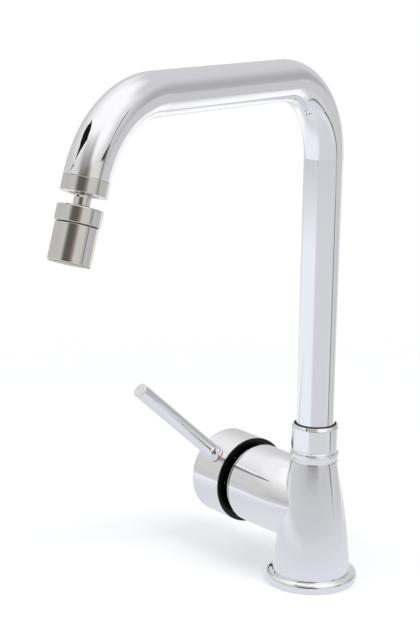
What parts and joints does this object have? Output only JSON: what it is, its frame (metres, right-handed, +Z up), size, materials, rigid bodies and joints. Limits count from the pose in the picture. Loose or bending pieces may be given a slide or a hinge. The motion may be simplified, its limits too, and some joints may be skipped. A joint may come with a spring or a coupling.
{
  "type": "gooseneck bar faucet",
  "caption": "Single-lever mixing faucet with flared body, side handle, swivelling gooseneck spout and ball-jointed aerator head.",
  "frame": {"origin": "centre of the base on the deck, on the axis of the riser", "axes": "+Z up along the riser; the side branch and handle point along -X; the spout points along -Y when straight ahead and is stored turned 17 degrees towards +X"},
  "size_m": [0.1697, 0.2657, 0.33],
  "materials": {
    "body_chrome": "polished",
    "outlet_chrome": "polished",
    "brass": "satin",
    "steel": "satin",
    "rubber": "matte",
    "slip_plastic": "matte",
    "cartridge_plastic": "matte",
    "dark_plastic": "matte",
    "black_gloss": "gloss",
    "insert_plastic": "gloss",
    "index_red": "gloss",
    "index_blue": "gloss"
  },
  "bodies": {
    "mixer": {"body_casting": "body_chrome", "inlet_block": "brass", "base_flange": "body_chrome", "base_gasket": "rubber", "trim_ring": "body_chrome", "spout_nut": "body_chrome", "slip_ring_lower": "slip_plastic", "slip_ring_upper": "slip_plastic", "cartridge_body": "cartridge_plastic", "cartridge_cover": "dark_plastic", "hot_seal": "rubber", "cold_seal": "rubber", "outlet_seal": "rubber", "cartridge_nut": "brass", "shroud_dome": "black_gloss"},
    "rotor": {"cartridge_rotor": "dark_plastic", "pivot_pin": "steel"},
    "handle": {"cartridge_stem": "steel", "handle_cap": "body_chrome", "cap_liner": "black_gloss", "lever_rod": "body_chrome", "lever_ball": "body_chrome", "index_red": "index_red", "index_blue": "index_blue", "grub_screw": "steel"},
    "spout": {"spout_tube": "body_chrome", "spout_bush": "brass", "o_ring_lower": "rubber", "o_ring_upper": "rubber", "outlet_ring": "outlet_chrome", "outlet_washer": "rubber", "ball_stem": "outlet_chrome"},
    "swivel": {"ball_seat": "dark_plastic"},
    "head": {"head_collar": "outlet_chrome", "head_sleeve": "outlet_chrome", "ball_seal": "rubber", "aerator_insert": "insert_plastic", "aerator_screen": "steel"}
  },
  "joints": [
    {"name": "lever_mix", "type": "hinge", "parent": "mixer", "child": "rotor", "pos_m": [-0.05, 0, 0.0488], "axis": [-1, 0, 0], "range_deg": [-45, 45]},
    {"name": "lever_flow", "type": "hinge", "parent": "rotor", "child": "handle", "pos_m": [-0.05, 0, 0.0488], "axis": [0, -0.6561, -0.7547], "range_deg": [0, 20]},
    {"name": "spout_swivel", "type": "hinge", "parent": "mixer", "child": "spout", "pos_m": [0, 0, 0.09], "axis": [0, 0, 1], "continuous": true},
    {"name": "head_spin", "type": "hinge", "parent": "spout", "child": "swivel", "pos_m": [0.06691, -0.21886, 0.26178], "axis": [0.0952, -0.3113, -0.9455], "continuous": true},
    {"name": "head_tilt", "type": "hinge", "parent": "swivel", "child": "head", "pos_m": [0.06691, -0.21886, 0.26178], "axis": [0.9563, 0.2924, 0], "range_deg": [-20, 20]}
  ]
}
